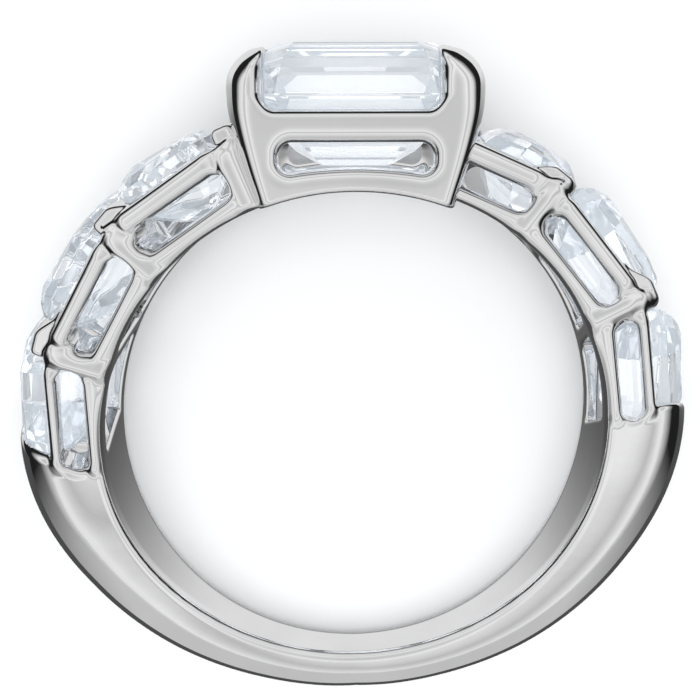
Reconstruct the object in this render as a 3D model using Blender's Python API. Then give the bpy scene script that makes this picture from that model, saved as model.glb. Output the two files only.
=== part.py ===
# Seven-stone anniversary band: a raised half-bezel head and three step-cut stones down each shoulder.
# Ring frame while modelling: X to the viewer's right, Y from the finger towards the head, Z along the
# finger axis towards the viewer. The finished ring then lies on its back, as it rests on a table.
# Angles along the band run from the head (0) down both arms to the foot of the shank (180).
# The right arm has positive angles. The ring looks the same after half a turn about the Y axis.

import bisect
import math
from collections import namedtuple

import bmesh
import bpy
from mathutils import Vector

MM = 0.001

# Band
BORE_RADIUS = 8.65 * MM
BORE_RELIEF = 0.22 * MM
TWIST = math.radians(2.45) / MM
TWIST_FADE_START = 95.0
TWIST_FADE_END = 150.0
DRIFT = 0.40 * MM
EDGE_BEVEL = 0.25 * MM
BAND_START_ANGLE = 11.0
STATION_STEP = 4.2

# Half width of the band and outer radius of the shank, by angle from the head
BandRow = namedtuple("BandRow", "angle half_width outer_radius")
BAND_TABLE = [
    BandRow(0.0, 2.50, 10.95),
    BandRow(18.0, 2.48, 10.95),
    BandRow(42.0, 2.32, 11.30),
    BandRow(68.0, 2.08, 11.60),
    BandRow(88.0, 1.92, 11.85),
    BandRow(96.0, 1.84, 11.82),
    BandRow(104.0, 1.74, 11.68),
    BandRow(112.0, 1.61, 11.47),
    BandRow(120.0, 1.48, 11.25),
    BandRow(140.0, 1.16, 10.85),
    BandRow(160.0, 0.96, 10.50),
    BandRow(180.0, 0.88, 10.34),
]

# Gallery segments of one arm: place along the band, direction the stone faces, then the distances
# of the girdle, the table and the window from the ring's centre, and the stone's half length and half width
Segment = namedtuple("Segment", "name angle facing girdle table window half_length half_width")
SEGMENTS = [
    Segment("1", 29.8, 28.9, 10.84, 11.71, 9.68, 2.38, 2.02),
    Segment("2", 55.0, 55.1, 10.75, 11.72, 9.71, 2.38, 1.84),
    Segment("3", 80.3, 85.4, 10.48, 11.60, 9.64, 2.34, 1.62),
]
BAR_ANGLES = [17.2, 42.4, 67.6, 92.8]
RAIL_TOP_BELOW_GIRDLE = 0.06 * MM
WINDOW_HALF_LENGTH = 1.76 * MM
WINDOW_RADIUS = 0.45 * MM
WALL_THICKNESS = 0.78 * MM
CAVITY_HALF_LENGTH = 1.62 * MM
CUTTER_REACH = 4.5 * MM
CUT_PRECISION = 0.00002 * MM
CUT_MERGE = 0.002 * MM

# Claws
CLAW_RADIUS_ALONG = 0.46 * MM
CLAW_RADIUS_ACROSS = 0.36 * MM
CLAW_PROUD = 0.10 * MM
CLAW_TOP_RADIUS = 11.72 * MM

# Head, as heights above the ring centre
HEAD_RAIL_TOP = 11.0 * MM
HEAD_NOTCH_HALF = 2.92 * MM
HEAD_WINDOW_HALF = 2.62 * MM
HEAD_WINDOW_TOP = 10.17 * MM
HEAD_WINDOW_BOTTOM = 9.22 * MM
HEAD_ARCH_GAP = 0.02 * MM

# Stones
SEAT_GAP = 0.22 * MM
GIRDLE_HEIGHT = 0.10 * MM
SIDE_CORNER_CUT = 0.62 * MM
SIDE_TAPER = 0.10 * MM
CORNER_TAPER = 0.97
CENTER_GIRDLE = 11.57 * MM
CENTER_TABLE = 13.20 * MM
CENTER_HALF_LENGTH = 3.42 * MM
CENTER_HALF_WIDTH = 2.46 * MM
CENTER_CORNER_CUT = 0.62 * MM
HEAD_SIDE_CLEARANCE = 4.26 * MM

# Resting pose: tilts that bring the three lowest points of the back down onto a table
REST_TILT_X = math.radians(6.373)
REST_TILT_Y = math.radians(-2.662)


def clear_scene():
    for obj in list(bpy.data.objects):
        bpy.data.objects.remove(obj, do_unlink=True)


def new_collection(name):
    collection = bpy.data.collections.new(name)
    bpy.context.scene.collection.children.link(collection)
    return collection


def make_material(name, color, roughness, metallic, ior=1.45, transmission=0.0):
    material = bpy.data.materials.new(name)
    material.use_nodes = True
    shader = material.node_tree.nodes["Principled BSDF"]
    shader.inputs["Base Color"].default_value = color
    shader.inputs["Roughness"].default_value = roughness
    shader.inputs["Metallic"].default_value = metallic
    shader.inputs["IOR"].default_value = ior
    shader.inputs["Transmission Weight"].default_value = transmission
    return material


def smooth_step(value):
    value = min(max(value, 0.0), 1.0)
    return value * value * (3.0 - 2.0 * value)


def table_value(angle, column):
    # Smooth interpolation through the band table with a Catmull-Rom curve.
    rows = BAND_TABLE
    angles = [row.angle for row in rows]
    angle = min(abs(angle), 180.0)
    index = min(max(bisect.bisect_right(angles, angle) - 1, 0), len(rows) - 2)
    before = rows[max(index - 1, 0)]
    start = rows[index]
    end = rows[index + 1]
    after = rows[min(index + 2, len(rows) - 1)]
    span = end.angle - start.angle
    fraction = (angle - start.angle) / span
    slope_start = (getattr(end, column) - getattr(before, column)) / (end.angle - before.angle) * span
    slope_end = (getattr(after, column) - getattr(start, column)) / (after.angle - start.angle) * span
    square = fraction * fraction
    cube = square * fraction
    value = (2 * cube - 3 * square + 1) * getattr(start, column)
    value += (cube - 2 * square + fraction) * slope_start
    value += (3 * square - 2 * cube) * getattr(end, column)
    value += (cube - square) * slope_end
    return value * MM


def place(angle, radius, z):
    # A point of the band: the arms twist about the finger axis and drift to opposite sides.
    signed = angle if angle <= 180.0 else angle - 360.0
    fade = 1.0 - smooth_step((abs(signed) - TWIST_FADE_START) / (TWIST_FADE_END - TWIST_FADE_START))
    turned = math.radians(signed) - TWIST * fade * z
    drift = DRIFT * math.sin(math.radians(signed))
    return Vector((radius * math.sin(turned), radius * math.cos(turned), z - drift))


def facing_point(segment, along, height, z, foot_height=None):
    # A point given in the flat frame of a segment: along the stone, away from the finger, across.
    facing = math.radians(segment.facing)
    foot = (foot_height or height) * math.tan(math.radians(segment.angle - segment.facing))
    along = along + foot
    angle = math.degrees(facing + math.atan2(along, height))
    return place(angle, math.hypot(along, height), z)


def mesh_object(name, verts, faces, collection, material=None):
    mesh = bpy.data.meshes.new(name)
    mesh.from_pydata([tuple(v) for v in verts], [], faces)
    mesh.update()
    work = bmesh.new()
    work.from_mesh(mesh)
    bmesh.ops.recalc_face_normals(work, faces=work.faces)
    work.to_mesh(mesh)
    work.free()
    obj = bpy.data.objects.new(name, mesh)
    collection.objects.link(obj)
    if material is not None:
        mesh.materials.append(material)
    return obj


def loft(name, rings, collection, material=None):
    # Skin between rings with equal point counts, closed by a flat cap at each end.
    count = len(rings[0])
    verts = [point for ring in rings for point in ring]
    faces = []
    for row in range(len(rings) - 1):
        for col in range(count):
            following = (col + 1) % count
            faces.append((
                row * count + col,
                row * count + following,
                (row + 1) * count + following,
                (row + 1) * count + col,
            ))
    faces.append(tuple(range(count)))
    last = (len(rings) - 1) * count
    faces.append(tuple(range(last, last + count)))
    return mesh_object(name, verts, faces, collection, material)


def half_turn(source, name, collection):
    # The same solid on the other arm, half a turn about the Y axis away.
    mesh = source.data.copy()
    for vertex in mesh.vertices:
        vertex.co.x = -vertex.co.x
        vertex.co.z = -vertex.co.z
    obj = bpy.data.objects.new(name, mesh)
    collection.objects.link(obj)
    return obj


def segment_outer_radius(angle):
    # Top of the rails: flat along each stone, so its radius rises towards the bars.
    segment = min(SEGMENTS, key=lambda item: abs(item.angle - angle))
    top = segment.girdle * MM - RAIL_TOP_BELOW_GIRDLE
    return top / math.cos(math.radians(angle - segment.facing))


def bore_radius(angle):
    # The right arm is relieved a little beside the head, so its inner edge starts further out.
    if angle > 180.0:
        return BORE_RADIUS
    return BORE_RADIUS + BORE_RELIEF * (1.0 - smooth_step((angle - 30.0) / 90.0))


def band_section(angle):
    # Half of the cross-section as (radius, z), from the bore edge up to the crown of the shank.
    arm_angle = angle if angle <= 180.0 else 360.0 - angle
    half = table_value(arm_angle, "half_width")
    gallery_end = BAR_ANGLES[-1]
    shank = smooth_step((arm_angle - gallery_end + 3.0) / 5.0)
    bore = bore_radius(angle)
    outer_shank = table_value(arm_angle, "outer_radius")
    outer_row = segment_outer_radius(min(arm_angle, gallery_end + 2.0))
    outer = outer_row + (outer_shank - outer_row) * shank
    thick = outer - bore
    bevel_z = EDGE_BEVEL
    row_form = [
        (bore, half - bevel_z),
        (bore + EDGE_BEVEL, half),
        (bore + 0.55 * thick, half),
        (outer - 0.16 * MM, half),
        (outer, half - 0.16 * MM),
        (outer, 0.45 * half),
    ]
    shank_form = [
        (bore, half - bevel_z),
        (bore + EDGE_BEVEL, half),
        (bore + 0.50 * thick, 0.98 * half),
        (bore + 0.76 * thick, 0.84 * half),
        (bore + 0.92 * thick, 0.58 * half),
        (outer, 0.22 * half),
    ]
    return [
        (a[0] + (b[0] - a[0]) * shank, a[1] + (b[1] - a[1]) * shank)
        for a, b in zip(row_form, shank_form)
    ]


def band_angles():
    # Stations from one side of the head round the foot to the other side.
    marks = [BAND_START_ANGLE] + BAR_ANGLES + [180.0]
    half = []
    for start, end in zip(marks, marks[1:]):
        steps = max(1, round((end - start) / STATION_STEP))
        half += [start + (end - start) * step / steps for step in range(steps)]
    return half + [180.0] + [360.0 - angle for angle in reversed(half)]


def build_band(collection):
    rings = []
    for angle in band_angles():
        section = band_section(angle)
        front = [place(angle, radius, z) for radius, z in section]
        back = [place(angle, radius, -z) for radius, z in reversed(section)]
        rings.append(front + back)
    return loft("band", rings, collection)


def stadium(half_length, radius, arc_steps):
    points = []
    straight = half_length - radius
    for side in (1, -1):
        for step in range(arc_steps + 1):
            turn = math.pi * (step / arc_steps - 0.5)
            points.append((side * (straight + radius * math.cos(turn)), side * radius * math.sin(turn)))
    return points


def build_window_cutter(segment, collection):
    # Stadium-shaped opening through the front and the back wall under one stone.
    height = segment.window * MM
    outline = stadium(WINDOW_HALF_LENGTH, WINDOW_RADIUS, 6)
    half = table_value(segment.angle, "half_width") + 0.6 * MM
    rings = []
    steps = 8
    for step in range(steps + 1):
        z = half * (2.0 * step / steps - 1.0)
        rings.append([facing_point(segment, along, height + up, z) for along, up in outline])
    return loft("window_cutter_" + segment.name, rings, collection)


def rounded_rectangle(half_x, half_y, radius, corner_steps):
    points = []
    for corner_x, corner_y, start in ((1, 1, 0.0), (-1, 1, 0.5), (-1, -1, 1.0), (1, -1, 1.5)):
        for step in range(corner_steps + 1):
            turn = math.pi * (start + 0.5 * step / corner_steps)
            x = corner_x * (half_x - radius) + radius * math.cos(turn)
            y = corner_y * (half_y - radius) + radius * math.sin(turn)
            points.append((x, y))
    return points


def build_cavity_cutter(segment, collection):
    # Hollow between the walls and the bars, open to the finger.
    half = table_value(segment.angle, "half_width") - WALL_THICKNESS
    outline = rounded_rectangle(CAVITY_HALF_LENGTH, half, 0.5 * MM, 3)
    top = segment.girdle * MM - 0.4 * MM
    heights = [BORE_RADIUS - 1.0 * MM, BORE_RADIUS + 0.4 * MM, top]
    rings = []
    for height in heights:
        rings.append([facing_point(segment, along, height, across) for along, across in outline])
    return loft("cavity_cutter_" + segment.name, rings, collection)


def line_crossing(first, second):
    # Crossing of two lines, each given by its outward normal and its distance from the origin.
    (ax, ay), a = first
    (bx, by), b = second
    det = ax * by - ay * bx
    return ((a * by - b * ay) / det, (ax * b - bx * a) / det)


def side_lines(corners):
    # The four side lines of an outline: outward normal and distance from the origin.
    lines = []
    for index in range(4):
        start = Vector(corners[index])
        end = Vector(corners[(index + 1) % 4])
        direction = (end - start).normalized()
        normal = (direction.y, -direction.x)
        lines.append((normal, normal[0] * start.x + normal[1] * start.y))
    return lines


def cut_corner_outline(corners, inset, corner_cut):
    # Eight-sided outline: the sides moved inwards by the inset, then the corners cut off.
    sides = [(normal, distance - inset) for normal, distance in side_lines(corners)]
    lines = []
    for index in range(4):
        before = sides[index]
        after = sides[(index + 1) % 4]
        corner = Vector(line_crossing(before, after))
        middle = (Vector(before[0]) + Vector(after[0])).normalized()
        lines.append(before)
        lines.append(((middle.x, middle.y), middle.dot(corner) - corner_cut))
    return [line_crossing(lines[index - 1], lines[index]) for index in range(8)]


# Facet levels: inset of the outline as a share of the half width, height as a share of the
# crown height above the girdle or of the half width below it
Level = namedtuple("Level", "inset height")
CROWN_LEVELS = [Level(0.0, 0.0), Level(0.10, 0.50), Level(0.22, 0.82), Level(0.36, 1.0)]
PAVILION_LEVELS = [Level(0.0, 0.0), Level(0.25, -0.36), Level(0.58, -0.70), Level(0.93, -0.91)]


def cut_stone(name, corners, corner_cut, half_width, crown, frame, grow, collection, material=None):
    # Step-cut stone, cut from a block plane by plane: table, three crown steps, girdle, three
    # pavilion steps and the keel. The frame function turns (along, across, height above the
    # girdle) into ring coordinates. All planes stand off by the grow distance.
    crown_rings = []
    pavilion_rings = []
    half_girdle = 0.5 * GIRDLE_HEIGHT
    for levels, rings, sign, depth in (
        (CROWN_LEVELS, crown_rings, 1.0, crown - half_girdle),
        (PAVILION_LEVELS, pavilion_rings, -1.0, half_width),
    ):
        for level in levels:
            cut = corner_cut * (1.0 - CORNER_TAPER * level.inset)
            outline = cut_corner_outline(corners, level.inset * half_width, cut)
            height = sign * half_girdle + level.height * depth
            rings.append([frame(along, across, height) for along, across in outline])
    center = frame(0.0, 0.0, 0.0)
    out = (frame(0.0, 0.0, MM) - center).normalized()

    planes = []
    for side in range(8):
        following = (side + 1) % 8
        edge = crown_rings[0][following] - crown_rings[0][side]
        steps = [(pavilion_rings[0], crown_rings[0])]
        steps += list(zip(crown_rings, crown_rings[1:])) + list(zip(pavilion_rings, pavilion_rings[1:]))
        for lower, upper in steps:
            start = 0.5 * (lower[side] + lower[following])
            end = 0.5 * (upper[side] + upper[following])
            normal = edge.cross(end - start).normalized()
            if normal.dot(start - center) < 0.0:
                normal = -normal
            planes.append((start, normal))
    table = sum(crown_rings[-1], Vector()) / 8
    keel = sum(pavilion_rings[-1], Vector()) / 8
    planes += [(table, out), (keel, -out)]

    work = bmesh.new()
    bmesh.ops.create_cube(work, size=12.0 * MM)
    bmesh.ops.translate(work, vec=center, verts=work.verts)
    for point, normal in planes:
        geometry = list(work.verts) + list(work.edges) + list(work.faces)
        bmesh.ops.bisect_plane(
            work, geom=geometry, dist=CUT_PRECISION, plane_co=point + grow * normal,
            plane_no=normal, clear_outer=True,
        )
        rim = [edge for edge in work.edges if edge.is_boundary]
        if rim:
            bmesh.ops.holes_fill(work, edges=rim, sides=0)
    bmesh.ops.remove_doubles(work, verts=work.verts, dist=CUT_MERGE)
    bmesh.ops.recalc_face_normals(work, faces=work.faces)
    mesh = bpy.data.meshes.new(name)
    work.to_mesh(mesh)
    work.free()
    obj = bpy.data.objects.new(name, mesh)
    collection.objects.link(obj)
    if material is not None:
        mesh.materials.append(material)
    return obj


def side_corners(segment):
    # Outline corners of a side stone in its segment's frame, a little wider at the head end.
    half_length = segment.half_length * MM
    half_width = segment.half_width * MM
    ends = {}
    for side in (-1, 1):
        start = -half_length
        if segment.name == "1":
            # The first stone stops square against the side of the head.
            girdle = segment.girdle * MM
            facing = math.radians(segment.facing) - TWIST * side * half_width
            foot = girdle * math.tan(math.radians(segment.angle - segment.facing))
            start = (HEAD_SIDE_CLEARANCE - girdle * math.sin(facing)) / math.cos(facing) - foot
        ends[side] = (start, half_length)
    wide = half_width + SIDE_TAPER
    narrow = half_width - SIDE_TAPER
    return [(ends[-1][0], -wide), (ends[-1][1], -narrow), (ends[1][1], narrow), (ends[1][0], wide)]


def build_side_stone(segment, name, grow, collection, material=None):
    girdle = segment.girdle * MM

    def frame(along, across, height):
        return facing_point(segment, along, girdle + height, across, girdle)

    crown = (segment.table - segment.girdle) * MM
    return cut_stone(
        name, side_corners(segment), SIDE_CORNER_CUT, segment.half_width * MM, crown,
        frame, grow, collection, material,
    )


def build_center_stone(name, grow, collection, material=None):
    x = CENTER_HALF_LENGTH
    z = CENTER_HALF_WIDTH

    def frame(along, across, height):
        return Vector((along, CENTER_GIRDLE + height, across))

    corners = [(-x, -z), (x, -z), (x, z), (-x, z)]
    crown = CENTER_TABLE - CENTER_GIRDLE
    return cut_stone(name, corners, CENTER_CORNER_CUT, z, crown, frame, grow, collection, material)


def build_claw(angle, side, collection, name):
    # Bar end and claw: an oval rod up the wall that leans in over the stones and ends in a dome.
    half = table_value(angle, "half_width")
    wall = half - CLAW_RADIUS_ACROSS + CLAW_PROUD
    reach = CLAW_TOP_RADIUS
    levels = [
        (BORE_RADIUS + 0.32 * MM, 0.0, 1.0),
        (reach - 1.10 * MM, 0.0, 1.0),
        (reach - 0.75 * MM, 0.04 * MM, 1.0),
        (reach - 0.42 * MM, 0.14 * MM, 0.95),
        (reach - 0.20 * MM, 0.22 * MM, 0.80),
        (reach - 0.06 * MM, 0.27 * MM, 0.52),
        (reach, 0.29 * MM, 0.20),
    ]
    rings = []
    for radius, lean, scale in levels:
        ring = []
        for step in range(12):
            turn = 2.0 * math.pi * step / 12
            along = CLAW_RADIUS_ALONG * scale * math.cos(turn)
            across = CLAW_RADIUS_ACROSS * scale * math.sin(turn)
            z = side * (wall - lean) + across
            ring.append(place(angle + math.degrees(along / radius), radius, z))
        rings.append(ring)
    return loft(name, rings, collection)


# Outer form of the head by height: half length across the finger, half depth, corner radius
HeadRow = namedtuple("HeadRow", "height half_length half_depth corner")
HEAD_TABLE = [
    HeadRow(7.60, 2.84, 2.80, 0.60),
    HeadRow(8.35, 3.02, 2.86, 0.65),
    HeadRow(9.30, 3.35, 2.90, 0.72),
    HeadRow(10.30, 3.71, 2.92, 0.80),
    HeadRow(11.00, 3.95, 2.93, 0.86),
    HeadRow(11.60, 4.07, 2.93, 0.92),
    HeadRow(12.10, 4.04, 2.90, 0.95),
    HeadRow(12.50, 3.86, 2.80, 0.95),
    HeadRow(12.80, 3.58, 2.64, 0.90),
    HeadRow(12.97, 3.30, 2.46, 0.80),
    HeadRow(13.04, 3.04, 2.26, 0.70),
]


def build_head(collection):
    rings = []
    for row in HEAD_TABLE:
        outline = rounded_rectangle(row.half_length * MM, row.half_depth * MM, row.corner * MM, 5)
        rings.append([Vector((x, row.height * MM, z)) for x, z in outline])
    return loft("head", rings, collection)


def build_head_arch_cutter(collection):
    # Underside of the head, a hair above the bore so that the band's own bore shows.
    bpy.ops.mesh.primitive_cylinder_add(vertices=128, radius=BORE_RADIUS + HEAD_ARCH_GAP, depth=8.0 * MM)
    obj = bpy.context.active_object
    obj.name = "head_arch_cutter"
    move_to(obj, collection)
    return obj


def build_head_window_cutter(collection):
    # Oval window whose lower edge arches with the bore.
    half_height = 0.5 * (HEAD_WINDOW_TOP - HEAD_WINDOW_BOTTOM)
    middle = 0.5 * (HEAD_WINDOW_TOP + HEAD_WINDOW_BOTTOM)
    outline = []
    for x, y in stadium(HEAD_WINDOW_HALF, half_height, 6):
        outline.append((x, middle + y))
    straight = HEAD_WINDOW_HALF - half_height
    arch_radius = 13.0 * MM
    lower = []
    for step in range(1, 8):
        x = straight * (2.0 * step / 8 - 1.0)
        rise = math.sqrt(arch_radius ** 2 - x ** 2) - math.sqrt(arch_radius ** 2 - straight ** 2)
        lower.append((x, middle - half_height - 0.16 * MM + rise))
    half = len(outline) // 2
    left = outline[half:]
    right = outline[:half]
    points = right + left + lower
    rings = []
    for z in (-CUTTER_REACH, CUTTER_REACH):
        rings.append([Vector((x, y, z)) for x, y in points])
    return loft("head_window_cutter", rings, collection)


def build_notch_cutter(collection):
    # U-shaped notch between the claws of the front wall and of the back wall.
    top = 14.5 * MM
    height = top - HEAD_RAIL_TOP
    outline = rounded_rectangle(HEAD_NOTCH_HALF, height, 0.42 * MM, 5)
    rings = []
    for z in (-CUTTER_REACH, CUTTER_REACH):
        rings.append([Vector((x, top + y, z)) for x, y in outline])
    return loft("head_notch_cutter", rings, collection)


def build_head_cavity_cutter(collection):
    # Hollow inside the head below the stone, open to the finger.
    outline = rounded_rectangle(2.78 * MM, 2.12 * MM, 0.55 * MM, 4)
    rings = []
    for height in (7.0 * MM, 11.3 * MM):
        rings.append([Vector((x, height, z)) for x, z in outline])
    return loft("head_cavity_cutter", rings, collection)


def move_to(obj, collection):
    for owner in list(obj.users_collection):
        owner.objects.unlink(obj)
    collection.objects.link(obj)


def add_booleans(target, operation, collection):
    for operand in collection.objects:
        modifier = target.modifiers.new(operand.name, "BOOLEAN")
        modifier.operation = operation
        modifier.object = operand
        modifier.solver = "EXACT"


def hide_helpers(collection):
    for obj in collection.objects:
        obj.hide_render = True
        obj.display_type = "WIRE"


def lay_down(ring, helpers):
    # Rest the ring on its back with its lowest point at zero height, centred on the origin.
    rest = bpy.data.objects.new("resting_pose", None)
    ring.objects.link(rest)
    for collection in [ring] + helpers:
        for obj in collection.objects:
            if obj is not rest:
                obj.parent = rest
    rest.rotation_euler = (REST_TILT_X, REST_TILT_Y, 0.0)
    depsgraph = bpy.context.evaluated_depsgraph_get()
    corners = []
    for obj in ring.objects:
        if obj.type == "MESH":
            solid = obj.evaluated_get(depsgraph)
            corners += [solid.matrix_world @ vertex.co for vertex in solid.data.vertices]
    low = [min(corner[axis] for corner in corners) for axis in range(3)]
    high = [max(corner[axis] for corner in corners) for axis in range(3)]
    rest.location = (-0.5 * (low[0] + high[0]), -0.5 * (low[1] + high[1]), -low[2])


def main():
    clear_scene()
    ring = new_collection("anniversary_band")
    arch_cutters = new_collection("arch_cutters")
    claws = new_collection("claws")
    gallery_cutters = new_collection("gallery_cutters")
    head_parts = new_collection("head_parts")
    seat_cutters = new_collection("seat_cutters")

    white_metal = make_material("polished_white_metal", (0.83, 0.83, 0.84, 1.0), 0.12, 1.0)
    stone_material = make_material("colourless_stone", (0.95, 0.97, 1.0, 1.0), 0.0, 0.0, 2.4, 1.0)

    setting = build_band(ring)
    setting.name = "ring_setting"
    setting.data.name = "ring_setting"
    setting.data.materials.append(white_metal)

    for index, angle in enumerate(BAR_ANGLES[:-1]):
        for side, side_name in ((1, "front"), (-1, "back")):
            claw = build_claw(angle, side, claws, "claw_%d_%s" % (index, side_name))
            half_turn(claw, "claw_%d_%s_left" % (index, side_name), claws)

    for segment in SEGMENTS:
        for builder in (build_window_cutter, build_cavity_cutter):
            cutter = builder(segment, gallery_cutters)
            half_turn(cutter, cutter.name + "_left", gallery_cutters)
        seat = build_side_stone(segment, "seat_" + segment.name, SEAT_GAP, seat_cutters)
        half_turn(seat, "seat_left_" + segment.name, seat_cutters)
        stone = build_side_stone(segment, "side_stone_right_" + segment.name, 0.0, ring, stone_material)
        half_turn(stone, "side_stone_left_" + segment.name, ring)

    head = build_head(head_parts)
    build_head_arch_cutter(arch_cutters)
    add_booleans(head, "DIFFERENCE", arch_cutters)

    build_head_cavity_cutter(seat_cutters)
    build_head_window_cutter(seat_cutters)
    build_notch_cutter(seat_cutters)
    build_center_stone("center_seat", SEAT_GAP, seat_cutters)
    build_center_stone("center_stone", 0.0, ring, stone_material)

    add_booleans(setting, "UNION", claws)
    add_booleans(setting, "DIFFERENCE", gallery_cutters)
    add_booleans(setting, "UNION", head_parts)
    add_booleans(setting, "DIFFERENCE", seat_cutters)
    helpers = [arch_cutters, claws, gallery_cutters, head_parts, seat_cutters]
    for collection in helpers:
        hide_helpers(collection)
    lay_down(ring, helpers)


main()
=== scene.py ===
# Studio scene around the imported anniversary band. The cut stones stay as packed and get a clear
# material. The soldered metal is rebuilt as three finely meshed pieces, two arms and the head, with
# rounded rails, claws and fillets. Each piece is the surface on which a field is zero. A field is
# about the distance from that surface in millimetres, and it is below zero in the metal. All forms
# are given in millimetres in the ring frame: X to the right, Y from the finger towards the head, and
# Z along the finger's axis towards the viewer. Angles of the band are in degrees from the head.

import math

import bpy
import numpy as np
from mathutils import Matrix, Vector


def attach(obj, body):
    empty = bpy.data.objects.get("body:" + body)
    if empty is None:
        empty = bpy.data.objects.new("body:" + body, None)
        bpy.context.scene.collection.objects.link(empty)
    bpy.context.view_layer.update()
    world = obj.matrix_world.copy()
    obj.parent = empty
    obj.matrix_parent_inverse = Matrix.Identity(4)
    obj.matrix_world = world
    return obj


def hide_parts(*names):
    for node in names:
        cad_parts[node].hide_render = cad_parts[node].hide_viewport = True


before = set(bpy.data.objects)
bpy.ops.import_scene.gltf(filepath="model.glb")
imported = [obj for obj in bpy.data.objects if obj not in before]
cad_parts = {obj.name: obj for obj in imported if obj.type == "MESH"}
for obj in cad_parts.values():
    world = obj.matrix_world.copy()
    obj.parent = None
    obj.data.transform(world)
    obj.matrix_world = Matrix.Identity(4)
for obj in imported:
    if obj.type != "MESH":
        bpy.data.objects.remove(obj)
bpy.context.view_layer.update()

MM = 0.001
FAR = 1e9
TINY = 1e-9

# Resting pose of the ring, as in the part's source
REST_TILT_X = math.radians(6.373)
REST_TILT_Y = math.radians(-2.662)
REST_PLACE = Vector((-6.332e-06, -0.001494644, 0.002023855))
REST_TURN = Matrix.Rotation(REST_TILT_Y, 4, "Y") @ Matrix.Rotation(REST_TILT_X, 4, "X")
REST = Matrix.Translation(REST_PLACE) @ REST_TURN
REST_INVERSE = REST.inverted()

# Radius of the finger hole. Beside the head the right arm's bore is wider by the relief, which
# fades out from an angle on.
BORE = 8.65
RELIEF = 0.22
RELIEF_ANGLE = 30.0
RELIEF_FADE = 90.0

# Twist of the band in degrees for each millimetre across it, which fades out between two angles,
# and how far the band is moved back at 90 degrees
TWIST = 2.45
TWIST_FADE_START = 95.0
TWIST_FADE_END = 150.0
DRIFT = 0.40

# Band: angle, half width, outer radius
BAND_TABLE = np.array([
    (0.0, 2.50, 10.95), (18.0, 2.48, 10.95), (42.0, 2.32, 11.30), (68.0, 2.08, 11.60),
    (88.0, 1.92, 11.85), (96.0, 1.84, 11.82), (104.0, 1.74, 11.68), (112.0, 1.61, 11.47),
    (120.0, 1.48, 11.25), (140.0, 1.16, 10.85), (160.0, 0.96, 10.50), (180.0, 0.88, 10.34),
])
BAND_TABLE_STEP = 0.25

# The three stones of an arm: angle of the middle, angle that the segment faces, and the heights of
# the girdle and of the window's middle along that second angle
SEGMENTS = ((29.8, 28.9, 10.84, 9.68), (55.0, 55.1, 10.75, 9.71), (80.3, 85.4, 10.48, 9.64))
# Angles of the bars on the head's side of each stone
BARS = (17.2, 42.4, 67.6)

# Walls and bars: top below the girdle, end past the middle of the last stone, and how far they
# stand back from the band's side, in general and how much more beside the head
WALL_TOP = 0.08
WALL_END = 2.0
WALL_END_BLEND = 0.10
WALL_RECESS = 0.10
HEAD_RECESS = 0.22
HEAD_RECESS_ANGLE = 16.5
HEAD_RECESS_FADE = 2.5
WALL_BLEND = 0.20
# Hollow under a stone: half length, wall beside it, corner radius, top below the girdle
CAVITY_HALF_LENGTH = 1.66
CAVITY_WALL = 0.74
CAVITY_CORNER = 0.5
CAVITY_TOP = 0.40
CAVITY_TOP_BLEND = 0.2
CAVITY_BLEND = 0.12

# Shank: powers of the dome's section, and the start of the shoulder past the last stone's middle
DOME_SIDE_POWER = 2.5
DOME_TOP_POWER = 4.0
DOME_LEAST_SLOPE = 0.6
SHOULDER_START = 1.42
SHOULDER_BLEND = 0.25
SHANK_BLEND = 0.10

# Rails: half length, radius and level of the upper one below the girdle, radius and level of the
# lower one below the window's middle, its rise on the near side, and how far they stand out
RAIL_HALF_LENGTH = 1.55
UPPER_RAIL_RADIUS = 0.37
UPPER_RAIL_LEVEL = 0.40
LOWER_RAIL_RADIUS = 0.31
LOWER_RAIL_LEVEL = 0.70
LOWER_RAIL_NEAR_RISE = 0.08
RAIL_OVERHANG = 0.03
RAIL_BLEND = 0.20

# Ridges over the bars: radius, depth of the axis below the band's side, scale along the band that
# makes them broader, lean inwards above a height, top on the far side, and its near-side rise
RIDGE_RADIUS = 0.36
RIDGE_DEPTH = 0.27
RIDGE_SIDE_SCALE = 0.84
RIDGE_LEAN = 0.30
RIDGE_LEAN_HEIGHT = 10.2
RIDGE_LEAN_LENGTH = 1.3
RIDGE_TOP = 10.58
RIDGE_NEAR_RISE = 0.44
RIDGE_BLEND = 0.14

# Windows between the rails, cut through the walls only: half run, run of the first one towards the
# head on the near side, radius, its near-side shrinkage, and the near-side rise of the middle
WINDOW_HALF_RUN = 1.36
WINDOW_HEAD_RUN = 2.1
WINDOW_RADIUS = 0.43
WINDOW_NEAR_SHRINK = 0.06
WINDOW_NEAR_RISE = 0.07
WINDOW_START_ACROSS = 0.9
WINDOW_BLEND = 0.30

# Lips over the stones' corners: top at the end towards the head, its rise towards the bar, middle
# and half length along the band, the same for the one beside the head, front and back below the
# band's side, and foot
LIP_TOP = 10.84
LIP_RISE = 0.54
LIP_RISE_START = 1.35
LIP_RISE_LENGTH = 0.95
LIP_MIDDLE = -0.60
LIP_REACH = 0.95
HEAD_LIP_TOP = 11.45
HEAD_LIP_MIDDLE = -0.06
HEAD_LIP_REACH = 0.40
LIP_FRONT = 0.22
LIP_FRONT_BLEND = 0.20
LIP_BACK = 0.92
LIP_BACK_BLEND = 0.14
LIP_END_BLEND = 0.30
LIP_FOOT = 10.2
LIP_BLEND = 0.06

# Bevel along the bore: height above the bore by the head, how much higher it is down the shank,
# and the direction of its slope
BEVEL_HEIGHT = 0.12
BEVEL_GROWTH = 0.09
BEVEL_GROWTH_ANGLE = 50.0
BEVEL_GROWTH_FADE = 70.0
BEVEL_ACROSS = 0.616
BEVEL_INWARD = 0.788
BEVEL_BLEND = 0.11
BORE_BLEND = 0.12

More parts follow.
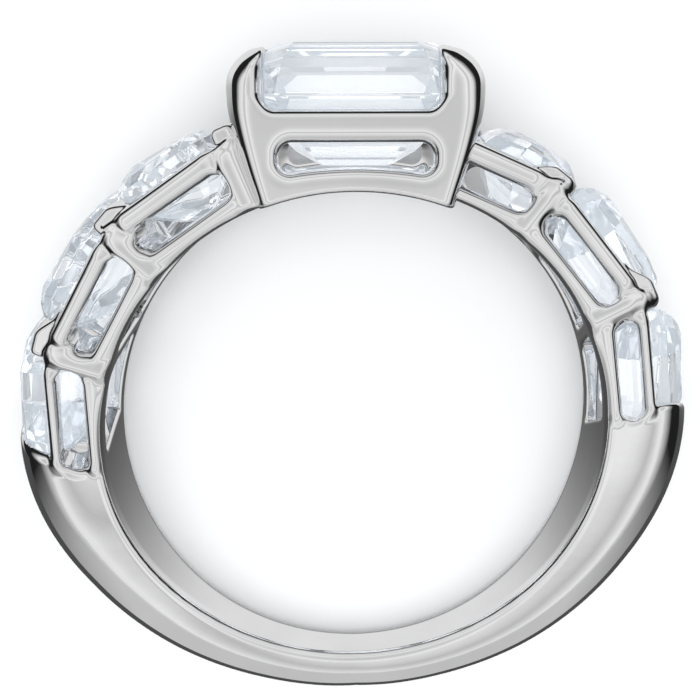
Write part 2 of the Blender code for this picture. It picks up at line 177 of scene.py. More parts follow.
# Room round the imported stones, and how deep the arms run into the head's walls
STONE_GAP = 0.03
STONE_BLEND = 0.03
HEAD_OVERLAP = 0.30

# Head: height, half length, half depth, corner radius
HEAD_TABLE = np.array([
    (7.60, 3.04, 2.80, 0.50), (8.35, 3.22, 2.86, 0.52), (9.30, 3.53, 2.90, 0.60),
    (10.30, 3.84, 2.92, 0.72), (11.00, 4.01, 2.93, 0.82), (11.60, 4.07, 2.93, 0.92),
    (12.10, 4.04, 2.90, 0.95), (12.50, 3.86, 2.80, 0.95), (12.80, 3.58, 2.64, 0.90),
    (12.97, 3.30, 2.46, 0.80), (13.04, 3.04, 2.26, 0.70),
])
HEAD_TABLE_STEP = 0.01
HEAD_FOOT = 7.4
HEAD_TOP = 13.08
HEAD_TOP_BLEND = 0.16
HEAD_BORE = BORE - 0.05
HEAD_BORE_BLEND = 0.18
# Hollow under the centre stone: half length, half depth, corner radius, top
HEAD_CAVITY_LENGTH = 2.78
HEAD_CAVITY_DEPTH = 2.12
HEAD_CAVITY_CORNER = 0.55
HEAD_CAVITY_TOP = 11.3
HEAD_CAVITY_BLEND = 0.12
# Oval windows: top, height of the lower edge, which is an arc, at a place beside the middle
HEAD_WINDOW_TOP = 10.11
HEAD_WINDOW_LOW = 9.20
HEAD_WINDOW_ARC = 13.0
HEAD_WINDOW_ARC_PLACE = 2.145
HEAD_WINDOW_ARC_END = 4.0
HEAD_WINDOW_HALF_LENGTH = 2.42
HEAD_WINDOW_CORNER = 0.40
HEAD_WINDOW_BLEND = 0.55
# Notches between the claws: middle height, half length, half height, corner radius, and how far
# they are moved aside, to the left on the near side and to the right on the far side
NOTCH_HEIGHT = 14.64
NOTCH_HALF_LENGTH = 2.72
NOTCH_HALF_HEIGHT = 3.5
NOTCH_CORNER = 0.34
NOTCH_SHIFT = 0.145
# Rounding of the notches, which is less at the claws' tips
NOTCH_BLEND = 0.36
NOTCH_TIP_BLEND = 0.20
NOTCH_TIP_START = 12.2
NOTCH_TIP_LENGTH = 0.8
# Sloped inner sides of the claws: depth, the heights at which it begins and ends, and direction
CLAW_SLOPE_DEPTH = 0.36
CLAW_SLOPE_START = 11.15
CLAW_SLOPE_START_LENGTH = 0.5
CLAW_SLOPE_END = 13.0
CLAW_SLOPE_END_LENGTH = 0.6
CLAW_SLOPE_OUTWARD = 0.80
CLAW_SLOPE_SIDEWAYS = 0.60
CLAW_SLOPE_BLEND = 0.12

# The arms end at the foot of the ring. A last layer of the grid past it closes them with a cap.
SEAM_ANGLE = 180.0
SEAM_LAYER = 180.9
# Grids, which run a little past the pieces: start, end and cell size, or number of places
FINE_ANGLES = (9.0, 99.9, 0.40)
MIDDLE_ANGLES = (100.0, 104.0, 0.55)
SHANK_ANGLES = (104.5, SEAM_ANGLE, 84)
ARM_RADII = (8.45, 12.25, 0.072)
ARM_DEPTHS = (-2.84, 2.84, 80)
HEAD_XS = (-4.25, 4.25, 122)
HEAD_YS = (7.8, 13.25, 80)
HEAD_ZS = (-3.05, 3.05, 88)

# Steps for the slopes of a field, in degrees along an angle and in millimetres elsewhere
ANGLE_STEP = 0.06
LENGTH_STEP = 0.01
# Limits on how a point moves on to the surface: passes, least squared slope, longest move, and how
# deep in the metal a point of the cap has to lie to stay where it is
MOVE_PASSES = 2
LEAST_SQUARED_SLOPE = 0.2
LONGEST_MOVE = 0.04
CAP_DEPTH = 0.1
# Points closer than about this, in metres, are one point
WELD_DISTANCE = 1e-7
# Decimals by which two triangles of a stone count as one facet
FACET_DECIMALS = 3

# Camera: angles in degrees, distance from the point it looks at and that point's place in the ring
# in millimetres, focal length and picture width in pixels, sensor in millimetres, limits in metres
CAMERA_AZIMUTH = 0.11
CAMERA_ELEVATION = 13.53
CAMERA_ROLL = -0.15
CAMERA_DISTANCE = 34.61
CAMERA_AIM_X = -0.20
CAMERA_AIM_Y = 2.83
CAMERA_FOCAL = 972.2
PICTURE_WIDTH = 700.0
SENSOR_WIDTH = 36.0
CLIP_START = 0.001
CLIP_END = 5.0

# Greys of the sky from the horizon up, as height and value. The dips give the rounded metal its
# darker lines.
SKY_TONES = (
    (0.0, 0.90), (0.40, 0.74), (0.64, 0.92), (0.73, 0.58), (0.82, 0.98), (0.92, 0.80), (1.0, 0.66),
)
# Greys below the horizon: where they start and end along Y, the one towards the foot and the one
# towards the head, and the height under which they take over from the sky
LOWER_START = -0.30
LOWER_END = 0.45
LOWER_FOOT_GREY = 0.08
LOWER_HEAD_GREY = 0.85
LOWER_LIMIT = -0.03

FLOOR_HALF_SIZE = 2.0
FLOOR_COLOR = (0.93, 0.94, 0.95, 1.0)
FLOOR_ROUGHNESS = 0.6

# Dark screen: sizes in metres, number of sides, the share of its height from which it turns pale,
# the shares of its radius between which it turns pale towards the ring's foot, and its greys
SCREEN_RADIUS = 0.030
SCREEN_HEIGHT = 0.018
SCREEN_SIDES = 96
SCREEN_DARK_SHARE = 0.60
SCREEN_DARK = 0.015
SCREEN_RIM = 0.75
SCREEN_OPEN_START = -0.35
SCREEN_OPEN_END = -0.85
SCREEN_OPEN = 0.62

SUN_ENERGY = 1.3
SUN_SPREAD = 60.0
SUN_TILT_X = 8.0
SUN_TILT_Y = -6.0

METAL_CLOUD_SCALE = 420.0
METAL_CLOUD_DETAIL = 3.0
METAL_TINTS = ((0.30, (0.80, 0.80, 0.805, 1.0)), (0.70, (0.86, 0.86, 0.865, 1.0)))
METAL_LEAST_ROUGHNESS = 0.035
METAL_MOST_ROUGHNESS = 0.075
POLISH_SCALE = 2600.0
POLISH_DETAIL = 2.0
POLISH_STRENGTH = 0.05
POLISH_DEPTH = 0.00002

STONE_CLOUD_SCALE = 500.0
STONE_CLOUD_DETAIL = 2.0
STONE_TINTS = ((0.0, (0.93, 0.96, 1.0, 1.0)), (1.0, (0.99, 0.995, 1.0, 1.0)))
STONE_ROUGHNESS = 0.0
STONE_IOR = 2.0
STONE_TRANSMISSION = 0.95
# Painted light: the stones glow a faint blue, though they are no lamp, so that they look brighter
STONE_PAINTED_LIGHT_COLOR = (0.84, 0.92, 1.0, 1.0)
STONE_PAINTED_LIGHT = 0.10


def smooth_step(value):
    value = np.clip(value, 0.0, 1.0)
    return value * value * (3.0 - 2.0 * value)


def dense_table(table, step):
    # The same Catmull-Rom curve as in the part's source, sampled closely for fast look-up.
    keys = table[:, 0]
    places = np.arange(keys[0], keys[-1] + step, step)
    index = np.clip(np.searchsorted(keys, places, side="right") - 1, 0, len(keys) - 2)
    before = np.maximum(index - 1, 0)
    after = np.minimum(index + 2, len(keys) - 1)
    span = keys[index + 1] - keys[index]
    t = (places - keys[index]) / span
    columns = []
    for column in range(1, table.shape[1]):
        values = table[:, column]
        slope_start = (values[index + 1] - values[before]) / (keys[index + 1] - keys[before]) * span
        slope_end = (values[after] - values[index]) / (keys[after] - keys[index]) * span
        curve = (2 * t ** 3 - 3 * t ** 2 + 1) * values[index] + (t ** 3 - 2 * t ** 2 + t) * slope_start
        curve += (3 * t ** 2 - 2 * t ** 3) * values[index + 1] + (t ** 3 - t ** 2) * slope_end
        columns.append(curve)
    return places, columns


BAND_PLACES, (BAND_HALF, BAND_OUTER) = dense_table(BAND_TABLE, BAND_TABLE_STEP)
HEAD_PLACES, (HEAD_LENGTH, HEAD_DEPTH, HEAD_CORNER) = dense_table(HEAD_TABLE, HEAD_TABLE_STEP)


def smooth_min(a, b, blend):
    mix = np.clip(0.5 + 0.5 * (b - a) / blend, 0.0, 1.0)
    return b + (a - b) * mix - blend * mix * (1.0 - mix)


def smooth_max(a, b, blend):
    return -smooth_min(-a, -b, blend)


def rounded_box(x, y, half_x, half_y, radius):
    past_x = np.abs(x) - (half_x - radius)
    past_y = np.abs(y) - (half_y - radius)
    outside = np.hypot(np.maximum(past_x, 0.0), np.maximum(past_y, 0.0))
    return outside + np.minimum(np.maximum(past_x, past_y), 0.0) - radius


def place(theta, r, z):
    # Ring coordinates of a place on the band, given by its angle, radius and place across the band
    fade = 1.0 - smooth_step((theta - TWIST_FADE_START) / (TWIST_FADE_END - TWIST_FADE_START))
    turned = np.radians(theta - TWIST * fade * z)
    drift = DRIFT * np.sin(np.radians(theta))
    return r * np.sin(turned), r * np.cos(turned), z - drift


def unchanged(x, y, z):
    return x, y, z


def stone_planes(name):
    # Facet planes of a packed stone in ring coordinates: outward normal and distance
    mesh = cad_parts[name].data
    planes = {}
    for polygon in mesh.polygons:
        normal = (REST_INVERSE.to_3x3() @ polygon.normal).normalized()
        distance = normal.dot(REST_INVERSE @ polygon.center) / MM
        plane = (*normal, distance)
        planes[tuple(round(value, FACET_DECIMALS) for value in plane)] = plane
    return np.array(list(planes.values()))


def cut_stone(metal, planes, x, y, z):
    # The stone's field is the greatest distance in front of any of its facets.
    stone = np.full(x.shape, -FAR)
    for a, b, c, d in planes:
        np.maximum(stone, a * x + b * y + c * z - d, out=stone)
    return smooth_max(metal, STONE_GAP - stone, STONE_BLEND)


def head_outside(x, y, z):
    length = np.interp(y, HEAD_PLACES, HEAD_LENGTH)
    depth = np.interp(y, HEAD_PLACES, HEAD_DEPTH)
    corner = np.interp(y, HEAD_PLACES, HEAD_CORNER)
    return np.maximum(rounded_box(x, z, length, depth, corner), HEAD_FOOT - y)


def bar_place(theta, r, bar):
    # Place beside a bar and height along it
    turn = np.radians(theta - bar)
    return r * np.sin(turn), r * np.cos(turn)


def segment_places(theta, r):
    # For each stone: place along the band from its middle, height, girdle and window height
    places = []
    for angle, facing, girdle, window in SEGMENTS:
        turn = np.radians(theta - facing)
        height = r * np.cos(turn)
        along = r * np.sin(turn) - height * math.tan(math.radians(angle - facing))
        places.append((along, height, girdle, window))
    return places


def arm_walls(theta, across, half, places):
    # Everything from the bore up to just below the girdles, with a hollow under each stone
    above = [height - girdle for along, height, girdle, window in places]
    top = np.where(theta < BARS[1], above[0], above[1])
    top = np.where(theta < BARS[2], top, above[2]) + WALL_TOP
    top = smooth_max(top, places[2][0] - WALL_END, WALL_END_BLEND)
    recess = WALL_RECESS + HEAD_RECESS * smooth_step((HEAD_RECESS_ANGLE - theta) / HEAD_RECESS_FADE)
    metal = smooth_max(top, across - (half - recess), WALL_BLEND)
    for along, height, girdle, window in places:
        cavity = rounded_box(along, across, CAVITY_HALF_LENGTH, half - CAVITY_WALL, CAVITY_CORNER)
        cavity = smooth_max(cavity, height - (girdle - CAVITY_TOP), CAVITY_TOP_BLEND)
        metal = smooth_max(metal, -cavity, CAVITY_BLEND)
    return metal


def shank(r, across, half, bore, outer, along):
    # A domed band that starts with a shoulder behind the last stone
    thick = outer - bore
    up = np.maximum((r - bore) / thick, 0.0)
    aside = across / half
    dome = aside ** DOME_SIDE_POWER + up ** DOME_TOP_POWER - 1.0
    slope_across = DOME_SIDE_POWER * aside ** (DOME_SIDE_POWER - 1.0) / half
    slope_up = DOME_TOP_POWER * up ** (DOME_TOP_POWER - 1.0) / thick
    dome = dome / np.maximum(np.hypot(slope_across, slope_up), DOME_LEAST_SLOPE)
    return smooth_max(dome, SHOULDER_START - along, SHOULDER_BLEND)


def add_rails(metal, across, near, half, places):
    # One rail above and one below each window
    for along, height, girdle, window in places:
        run = np.maximum(np.abs(along) - RAIL_HALF_LENGTH, 0.0)
        upper = girdle - UPPER_RAIL_LEVEL
        lower = window - LOWER_RAIL_LEVEL + LOWER_RAIL_NEAR_RISE * near
        for level, radius in ((upper, UPPER_RAIL_RADIUS), (lower, LOWER_RAIL_RADIUS)):
            aside = across - (half - radius + RAIL_OVERHANG)
            rail = np.sqrt(run ** 2 + (height - level) ** 2 + aside ** 2) - radius
            metal = smooth_min(metal, rail, RAIL_BLEND)
    return metal


def add_ridges(metal, theta, r, across, near, half):
    for bar in BARS:
        side, height = bar_place(theta, r, bar)
        lean = RIDGE_LEAN * smooth_step((height - RIDGE_LEAN_HEIGHT) / RIDGE_LEAN_LENGTH)
        past_top = np.maximum(height - (RIDGE_TOP + RIDGE_NEAR_RISE * near), 0.0)
        aside = across - (half - RIDGE_DEPTH - lean)
        ridge = np.sqrt((side * RIDGE_SIDE_SCALE) ** 2 + aside ** 2 + past_top ** 2) - RIDGE_RADIUS
        metal = smooth_min(metal, ridge, RIDGE_BLEND)
    return metal


def cut_windows(metal, across, near, places):
    for number, (along, height, girdle, window) in enumerate(places):
        run = np.maximum(np.abs(along) - WINDOW_HALF_RUN, 0.0)
        if number == 0:
            towards_head = (near > 0.0) & (along < 0.0)
            run = np.where(towards_head, np.maximum(-WINDOW_HEAD_RUN - along, 0.0), run)
        above = height - window - WINDOW_NEAR_RISE * near
        hole = np.hypot(run, above) - (WINDOW_RADIUS - WINDOW_NEAR_SHRINK * near)
        hole = np.maximum(hole, WINDOW_START_ACROSS - across)
        metal = smooth_max(metal, -hole, WINDOW_BLEND)
    return metal


def add_lips(metal, theta, r, across, half):
    # Lips that rise from the rail over the corner of the stone on the head's side of each bar
    for bar in BARS:
        side, height = bar_place(theta, r, bar)
        top = LIP_TOP + LIP_RISE * smooth_step((side + LIP_RISE_START) / LIP_RISE_LENGTH)
        middle = LIP_MIDDLE
        reach = LIP_REACH
        if bar == BARS[0]:
            top = HEAD_LIP_TOP
            middle = HEAD_LIP_MIDDLE
            reach = HEAD_LIP_REACH
        lip = smooth_max(height - top, across - (half - LIP_FRONT), LIP_FRONT_BLEND)
        lip = smooth_max(lip, half - LIP_BACK - across, LIP_BACK_BLEND)
        lip = smooth_max(lip, np.abs(side - middle) - reach, LIP_END_BLEND)
        lip = np.maximum(lip, LIP_FOOT - height)
        metal = smooth_min(metal, lip, LIP_BLEND)
    return metal


def arm_field(theta, r, z, stones, relief):
    # The arm that holds the right-hand stones, at an angle, a radius and a place across the band
    across = np.abs(z)
    near = (z > 0.0).astype(float)
    folded = SEAM_ANGLE - np.abs(SEAM_ANGLE - theta)
    half = np.interp(folded, BAND_PLACES, BAND_HALF)
    outer = np.interp(folded, BAND_PLACES, BAND_OUTER)
    bore = BORE + relief * (1.0 - smooth_step((theta - RELIEF_ANGLE) / RELIEF_FADE))
    places = segment_places(theta, r)

    metal = arm_walls(theta, across, half, places)
    metal = smooth_min(metal, shank(r, across, half, bore, outer, places[2][0]), SHANK_BLEND)
    metal = add_rails(metal, across, near, half, places)
    metal = add_ridges(metal, theta, r, across, near, half)
    metal = cut_windows(metal, across, near, places)
    x, y, depth = place(theta, r, z)
    for planes in stones:
        metal = cut_stone(metal, planes, x, y, depth)
    metal = add_lips(metal, theta, r, across, half)

    growth = smooth_step((folded - BEVEL_GROWTH_ANGLE) / BEVEL_GROWTH_FADE)
    edge = BEVEL_HEIGHT + BEVEL_GROWTH * growth
    bevel = (across - half) * BEVEL_ACROSS + (edge - (r - bore)) * BEVEL_INWARD
    metal = smooth_max(metal, bevel, BEVEL_BLEND)
    metal = smooth_max(metal, bore - r, BORE_BLEND)
    # Room for the head
    return np.maximum(metal, -HEAD_OVERLAP - head_outside(x, y, depth))


def head_field(x, y, z, planes):
    metal = smooth_max(head_outside(x, y, z), y - HEAD_TOP, HEAD_TOP_BLEND)
    metal = smooth_max(metal, HEAD_BORE - np.hypot(x, y), HEAD_BORE_BLEND)
    cavity = rounded_box(x, z, HEAD_CAVITY_LENGTH, HEAD_CAVITY_DEPTH, HEAD_CAVITY_CORNER)
    cavity = np.maximum(cavity, y - HEAD_CAVITY_TOP)
    metal = smooth_max(metal, -cavity, HEAD_CAVITY_BLEND)

    arc = np.sqrt(HEAD_WINDOW_ARC ** 2 - np.minimum(x * x, HEAD_WINDOW_ARC_END ** 2))
    low = HEAD_WINDOW_LOW + (arc - math.sqrt(HEAD_WINDOW_ARC ** 2 - HEAD_WINDOW_ARC_PLACE ** 2))
    above = y - 0.5 * (low + HEAD_WINDOW_TOP)
    half_height = 0.5 * (HEAD_WINDOW_TOP - low)
    window = rounded_box(x, above, HEAD_WINDOW_HALF_LENGTH, half_height, HEAD_WINDOW_CORNER)
    metal = smooth_max(metal, -window, HEAD_WINDOW_BLEND)

    shifted = x + NOTCH_SHIFT * np.sign(z)
    notch = rounded_box(shifted, y - NOTCH_HEIGHT, NOTCH_HALF_LENGTH, NOTCH_HALF_HEIGHT, NOTCH_CORNER)
    # Sloped inner sides of the claws, which mirror the dark screen
    hollow = CLAW_SLOPE_DEPTH * smooth_step((y - CLAW_SLOPE_START) / CLAW_SLOPE_START_LENGTH)
    hollow = hollow * smooth_step((CLAW_SLOPE_END - y) / CLAW_SLOPE_END_LENGTH)
    outward = np.abs(z) - np.interp(y, HEAD_PLACES, HEAD_DEPTH)
    slope = outward * CLAW_SLOPE_OUTWARD + (hollow - notch) * CLAW_SLOPE_SIDEWAYS
    metal = smooth_max(metal, slope, CLAW_SLOPE_BLEND)
    tip = smooth_step((y - NOTCH_TIP_START) / NOTCH_TIP_LENGTH)
    metal = smooth_max(metal, -notch, NOTCH_BLEND - NOTCH_TIP_BLEND * tip)
    return cut_stone(metal, planes, x, y, z)


# Corners of a grid cell as steps along the axes, and its edges as pairs of corners
CELL_CORNERS = np.array([[corner & 1, corner >> 1 & 1, corner >> 2 & 1] for corner in range(8)])
CELL_EDGES = [(a, b) for a in range(8) for b in range(a + 1, 8) if bin(a ^ b).count("1") == 1]


def surface_net(field, axes):
    # Dual mesh of the zero surface on a grid: one point in each cell that the surface crosses and
    # one face round each grid edge that it crosses. Points come back as places along the axes.
    inside = field < 0.0
    shape = [n - 1 for n in field.shape]
    count = np.zeros(shape, np.int8)
    for i, j, k in CELL_CORNERS:
        count += inside[i:i + shape[0], j:j + shape[1], k:k + shape[2]]
    cells = np.argwhere((count > 0) & (count < 8))
    number = np.full(shape, -1, np.int64)
    number[tuple(cells.T)] = np.arange(len(cells))

    # Each point lies in the middle of the places where the surface crosses the cell's edges.
    total = np.zeros((len(cells), 3))
    hits = np.zeros(len(cells))
    values = np.stack([field[tuple((cells + corner).T)] for corner in CELL_CORNERS], axis=1)
    for a, b in CELL_EDGES:
        crossing = (values[:, a] < 0) != (values[:, b] < 0)
        span = values[:, b] - values[:, a]
        t = -values[:, a] / np.where(crossing, span, 1.0)
        point = CELL_CORNERS[a] + t[:, None] * (CELL_CORNERS[b] - CELL_CORNERS[a])
        total[crossing] += point[crossing]
        hits += crossing
    index = cells + total / hits[:, None]
    columns = [np.interp(index[:, n], np.arange(len(axes[n])), axes[n]) for n in range(3)]

    faces = []
    for axis in range(3):
        u = (axis + 1) % 3
        v = (axis + 2) % 3
        low = [slice(None)] * 3
        high = [slice(None)] * 3
        low[axis] = slice(0, -1)
        high[axis] = slice(1, None)
        edges = np.argwhere(inside[tuple(low)] != inside[tuple(high)])
        within_u = (edges[:, u] > 0) & (edges[:, u] < shape[u])
        within_v = (edges[:, v] > 0) & (edges[:, v] < shape[v])
        edges = edges[within_u & within_v]
        leaving = inside[tuple(low)][tuple(edges.T)]
        quad = []
        for back_u, back_v in ((0, 0), (1, 0), (1, 1), (0, 1)):
            cell = edges.copy()
            cell[:, u] -= back_u
            cell[:, v] -= back_v
            quad.append(number[tuple(cell.T)])
        quad = np.stack(quad, axis=1)
        quad[~leaving] = quad[~leaving][:, ::-1]
        faces.append(quad)
    return np.stack(columns, axis=1), np.concatenate(faces)


def slopes_at(points, field, to_ring, steps):
    # Slope of the field in ring coordinates and the inverse of the map's derivative, both by
    # central differences
    slopes = []
    stretch = []
    for axis, step in enumerate(steps):
        ahead = points.copy()
        behind = points.copy()
        ahead[:, axis] += step
        behind[:, axis] -= step
        slopes.append((field(*ahead.T) - field(*behind.T)) / (2.0 * step))
        change = np.stack(to_ring(*ahead.T), 1) - np.stack(to_ring(*behind.T), 1)
        stretch.append(change / (2.0 * step))
    inverse = np.linalg.inv(np.stack(stretch, 2))
    return np.einsum("ni,nij->nj", np.stack(slopes, 1), inverse), inverse


def surface_points(axes, field, to_ring, steps, seam):
    # Points on the zero surface, their outward normals, and the faces between them. At a seam the
    # mesh ends in a flat cap whose rim lies on the surface, so the next piece goes on without a step.
    values = field(*np.meshgrid(*axes, indexing="ij"))
    if seam < math.inf:
        values[-1] = 1.0
    points, faces = surface_net(values, axes)
    at_seam = points[:, 0] > seam
    points[at_seam, 0] = seam
    for _ in range(MOVE_PASSES):
        slope, inverse = slopes_at(points, field, to_ring, steps)
        value = field(*points.T)
        move = -(value / np.maximum((slope ** 2).sum(1), LEAST_SQUARED_SLOPE))[:, None] * slope
        length = np.linalg.norm(move, axis=1)
        move *= np.minimum(1.0, LONGEST_MOVE / np.maximum(length, TINY))[:, None]
        move[at_seam & (value < -CAP_DEPTH)] = 0.0
        points = points + np.einsum("nij,nj->ni", inverse, move)
        points[at_seam, 0] = seam
    slope = slopes_at(points, field, to_ring, steps)[0]
    normals = slope / np.maximum(np.linalg.norm(slope, axis=1), TINY)[:, None]
    return np.stack(to_ring(*points.T), 1), normals, faces


def build_surface(name, axes, field, to_ring, steps, seam=math.inf, turned=False):
    # The zero surface of a field as a mesh object, turned half round the head's axis where asked
    ring, normals, faces = surface_points(axes, field, to_ring, steps, seam)
    if turned:
        ring = ring * (-1.0, 1.0, -1.0)
        normals = normals * (-1.0, 1.0, -1.0)
    rest = np.array(REST)
    world = ring * MM @ rest[:3, :3].T + rest[:3, 3]
    normals = normals @ rest[:3, :3].T

    # Wind the faces outwards
    diagonal = world[faces[:, 2]] - world[faces[:, 0]]
    other_diagonal = world[faces[:, 3]] - world[faces[:, 1]]
    agreement = (np.cross(diagonal, other_diagonal) * normals[faces[:, 0]]).sum()
    if agreement < 0.0:
        faces = faces[:, ::-1]

    # Points that fell on one place at the seam become one, and faces left without area go.
    cells = np.round(world / WELD_DISTANCE)
    kept, number = np.unique(cells, axis=0, return_index=True, return_inverse=True)[1:]
    corners = [list(dict.fromkeys(face)) for face in number.ravel()[faces].tolist()]
    corners = [face for face in corners if len(face) > 2]
    mesh = bpy.data.meshes.new(name)
    mesh.from_pydata(world[kept].tolist(), [], corners)
    mesh.polygons.foreach_set("use_smooth", np.ones(len(corners), bool))
    mesh.normals_split_custom_set_from_vertices(normals[kept].tolist())
    return new_object(name, mesh)


def new_object(name, data):
    obj = bpy.data.objects.new(name, data)
    bpy.context.scene.collection.objects.link(obj)
    return obj


def new_material(name):
    material = bpy.data.materials.new(name)
    material.use_nodes = True
    return material, material.node_tree.nodes, material.node_tree.links


def noise(nodes, links, scale, detail):
    coordinate = nodes.new("ShaderNodeTexCoord")
    cloud = nodes.new("ShaderNodeTexNoise")
    cloud.inputs["Scale"].default_value = scale
    cloud.inputs["Detail"].default_value = detail
    links.new(coordinate.outputs["Object"], cloud.inputs["Vector"])
    return cloud.outputs["Fac"]


def color_ramp(nodes, stops):
    ramp = nodes.new("ShaderNodeValToRGB")
    elements = ramp.color_ramp.elements
    for element, (position, color) in zip(elements, (stops[0], stops[-1])):
        element.position = position
        element.color = color
    for position, color in stops[1:-1]:
        elements.new(position).color = color
    return ramp


def map_range(nodes, from_min, from_max, to_min, to_max):
    node = nodes.new("ShaderNodeMapRange")
    node.inputs["From Min"].default_value = from_min
    node.inputs["From Max"].default_value = from_max
    node.inputs["To Min"].default_value = to_min
    node.inputs["To Max"].default_value = to_max
    return node


def metal_material():
    material, nodes, links = new_material("polished_white_gold")
    shader = nodes["Principled BSDF"]
    shader.inputs["Metallic"].default_value = 1.0
    cloud = noise(nodes, links, METAL_CLOUD_SCALE, METAL_CLOUD_DETAIL)
    tint = color_ramp(nodes, METAL_TINTS)
    links.new(cloud, tint.inputs["Fac"])
    links.new(tint.outputs["Color"], shader.inputs["Base Color"])
    gloss = map_range(nodes, 0.0, 1.0, METAL_LEAST_ROUGHNESS, METAL_MOST_ROUGHNESS)
    links.new(cloud, gloss.inputs["Value"])
    links.new(gloss.outputs["Result"], shader.inputs["Roughness"])
    bump = nodes.new("ShaderNodeBump")
    bump.inputs["Strength"].default_value = POLISH_STRENGTH
    bump.inputs["Distance"].default_value = POLISH_DEPTH
    links.new(noise(nodes, links, POLISH_SCALE, POLISH_DETAIL), bump.inputs["Height"])
    links.new(bump.outputs["Normal"], shader.inputs["Normal"])
    return material


def stone_material():
    material, nodes, links = new_material("colourless_cut_stone")
    shader = nodes["Principled BSDF"]
    shader.inputs["Roughness"].default_value = STONE_ROUGHNESS
    shader.inputs["IOR"].default_value = STONE_IOR
    shader.inputs["Transmission Weight"].default_value = STONE_TRANSMISSION
    # Painted light: a faint bluish glow that brightens the stones
    shader.inputs["Emission Color"].default_value = STONE_PAINTED_LIGHT_COLOR
    shader.inputs["Emission Strength"].default_value = STONE_PAINTED_LIGHT
    tint = color_ramp(nodes, STONE_TINTS)
    links.new(noise(nodes, links, STONE_CLOUD_SCALE, STONE_CLOUD_DETAIL), tint.inputs["Fac"])
    links.new(tint.outputs["Color"], shader.inputs["Base Color"])
    return material


def build_world():
    world = bpy.data.worlds.new("studio")
    bpy.context.scene.world = world
    world.use_nodes = True
    nodes = world.node_tree.nodes
    links = world.node_tree.links
    background = nodes["Background"]
    background.inputs["Strength"].default_value = 1.0
    coordinate = nodes.new("ShaderNodeTexCoord")
    split = nodes.new("ShaderNodeSeparateXYZ")
    links.new(coordinate.outputs["Generated"], split.inputs["Vector"])
    sky = color_ramp(nodes, [(height, (grey, grey, grey, 1.0)) for height, grey in SKY_TONES])
    links.new(split.outputs["Z"], sky.inputs["Fac"])
    # Only mirrored rays pass the floor and look below the horizon, where it is dark towards the foot.
    lower = map_range(nodes, LOWER_START, LOWER_END, LOWER_FOOT_GREY, LOWER_HEAD_GREY)
    lower.interpolation_type = "SMOOTHSTEP"
    links.new(split.outputs["Y"], lower.inputs["Value"])
    below = nodes.new("ShaderNodeMath")
    below.operation = "LESS_THAN"
    below.inputs[1].default_value = LOWER_LIMIT
    links.new(split.outputs["Z"], below.inputs[0])
    mix = nodes.new("ShaderNodeMix")
    mix.data_type = "RGBA"
    links.new(below.outputs["Value"], mix.inputs["Factor"])
    links.new(sky.outputs["Color"], mix.inputs["A"])
    links.new(lower.outputs["Result"], mix.inputs["B"])
    links.new(mix.outputs["Result"], background.inputs["Color"])


def build_floor():
    # A pale floor that the metal doesn't mirror
    size = FLOOR_HALF_SIZE
    mesh = bpy.data.meshes.new("floor")
    corners = [(-size, -size, 0), (size, -size, 0), (size, size, 0), (-size, size, 0)]
    mesh.from_pydata(corners, [], [(0, 1, 2, 3)])
    material, nodes, _ = new_material("pale_floor")
    nodes["Principled BSDF"].inputs["Base Color"].default_value = FLOOR_COLOR
    nodes["Principled BSDF"].inputs["Roughness"].default_value = FLOOR_ROUGHNESS
    mesh.materials.append(material)
    floor = new_object("floor", mesh)
    floor.visible_glossy = False


def screen_material():
    # Emits its own grey: dark below, pale at the upper rim and towards the foot of the ring
    material, nodes, links = new_material("dark_screen")
    nodes.remove(nodes["Principled BSDF"])
    glow = nodes.new("ShaderNodeEmission")
    links.new(glow.outputs["Emission"], nodes["Material Output"].inputs["Surface"])
    coordinate = nodes.new("ShaderNodeTexCoord")
    split = nodes.new("ShaderNodeSeparateXYZ")
    links.new(coordinate.outputs["Object"], split.inputs["Vector"])
    rim = map_range(nodes, SCREEN_DARK_SHARE * SCREEN_HEIGHT, SCREEN_HEIGHT, SCREEN_DARK, SCREEN_RIM)
    links.new(split.outputs["Z"], rim.inputs["Value"])
    open_start = SCREEN_OPEN_START * SCREEN_RADIUS
    open_end = SCREEN_OPEN_END * SCREEN_RADIUS
    opening = map_range(nodes, open_start, open_end, 0.0, SCREEN_OPEN)
    links.new(split.outputs["Y"], opening.inputs["Value"])
    lighter = nodes.new("ShaderNodeMath")
    lighter.operation = "MAXIMUM"
    links.new(rim.outputs["Result"], lighter.inputs[0])
    links.new(opening.outputs["Result"], lighter.inputs[1])
    links.new(lighter.outputs["Value"], glow.inputs["Color"])
    return material


def build_screen():
    # A screen round the ring, seen only in mirrored rays, gives the metal its black reflections.
    verts = []
    faces = []
    for step in range(SCREEN_SIDES):
        turn = 2.0 * math.pi * step / SCREEN_SIDES
        following = (step + 1) % SCREEN_SIDES
        for level in (0.0, SCREEN_HEIGHT):
            verts.append((SCREEN_RADIUS * math.cos(turn), SCREEN_RADIUS * math.sin(turn), level))
        faces.append((2 * step, 2 * following, 2 * following + 1, 2 * step + 1))
    mesh = bpy.data.meshes.new("dark_screen")
    mesh.from_pydata(verts, [], faces)
    mesh.materials.append(screen_material())
    screen = new_object("dark_screen", mesh)
    screen.visible_camera = False
    screen.visible_diffuse = False
    screen.visible_transmission = False
    screen.visible_shadow = False


def build_sun():
    # Broad soft light for the floor and the stones, not mirrored in the metal
    light = bpy.data.lights.new("sky_panel", "SUN")
    light.energy = SUN_ENERGY
    light.angle = math.radians(SUN_SPREAD)
    sun = new_object("sky_panel", light)
    sun.rotation_euler = (math.radians(SUN_TILT_X), math.radians(SUN_TILT_Y), 0.0)
    sun.visible_glossy = False


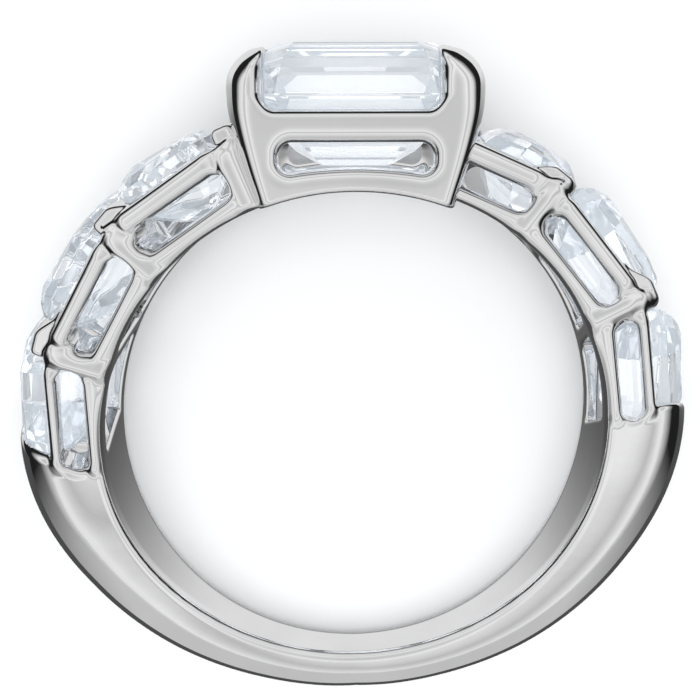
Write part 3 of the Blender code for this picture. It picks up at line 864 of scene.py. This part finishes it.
def build_camera():
    # The photograph's view of the ring. It is worked out for an upright ring, with X to the right,
    # Y along the finger's axis away from the viewer and Z up, and turned with the resting ring.
    azimuth = math.radians(CAMERA_AZIMUTH)
    elevation = math.radians(CAMERA_ELEVATION)
    roll = math.radians(CAMERA_ROLL)
    level = math.cos(elevation)
    forward = Vector((math.sin(azimuth) * level, math.cos(azimuth) * level, -math.sin(elevation)))
    eye = Vector((CAMERA_AIM_X, 0.0, CAMERA_AIM_Y)) - CAMERA_DISTANCE * forward
    right = Vector((math.cos(azimuth), -math.sin(azimuth), 0.0))
    up = right.cross(forward)
    turned_right = right * math.cos(roll) + up * math.sin(roll)
    turned_up = -right * math.sin(roll) + up * math.cos(roll)

    def ring(v):
        return Vector((v[0], v[2], -v[1]))

    matrix = Matrix((ring(turned_right), ring(turned_up), -ring(forward))).transposed().to_4x4()
    matrix.translation = ring(eye) * MM
    data = bpy.data.cameras.new("camera")
    data.sensor_width = SENSOR_WIDTH
    data.lens = CAMERA_FOCAL / PICTURE_WIDTH * SENSOR_WIDTH
    data.clip_start = CLIP_START
    data.clip_end = CLIP_END
    camera = new_object("camera", data)
    camera.matrix_world = REST @ matrix
    bpy.context.scene.camera = camera


def build_metal():
    coarse = 1.0

    def by_size(start, end, size):
        return np.arange(start, end, size * coarse)

    def by_number(start, end, number):
        return np.linspace(start, end, int(number / coarse))

    angles = np.concatenate([
        by_size(*FINE_ANGLES), by_size(*MIDDLE_ANGLES), by_number(*SHANK_ANGLES), [SEAM_LAYER],
    ])
    arm_axes = (angles, by_size(*ARM_RADII), by_number(*ARM_DEPTHS))
    arm_steps = (ANGLE_STEP, LENGTH_STEP, LENGTH_STEP)
    head_axes = (by_number(*HEAD_XS), by_number(*HEAD_YS), by_number(*HEAD_ZS))
    head_steps = (LENGTH_STEP, LENGTH_STEP, LENGTH_STEP)

    stones = [stone_planes("side_stone_right_%d" % number) for number in (1, 2, 3)]
    center = stone_planes("center_stone")

    def right_arm(theta, r, z):
        return arm_field(theta, r, z, stones, RELIEF)

    def left_arm(theta, r, z):
        return arm_field(theta, r, z, stones, 0.0)

    def head(x, y, z):
        return head_field(x, y, z, center)

    return [
        build_surface("ring_arm_right", arm_axes, right_arm, place, arm_steps, SEAM_ANGLE),
        build_surface("ring_arm_left", arm_axes, left_arm, place, arm_steps, SEAM_ANGLE, turned=True),
        build_surface("ring_head", head_axes, head, unchanged, head_steps),
    ]


metal = metal_material()
for piece in build_metal():
    piece.data.materials.append(metal)
    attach(piece, "root")
    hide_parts("ring_setting")

clear = stone_material()
for name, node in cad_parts.items():
    if "stone" in name:
        node.data.polygons.foreach_set("use_smooth", np.zeros(len(node.data.polygons), bool))
        for slot in node.material_slots:
            slot.material = clear

bpy.context.scene.view_settings.view_transform = "Standard"
build_floor()
build_world()
build_sun()
build_screen()
build_camera()
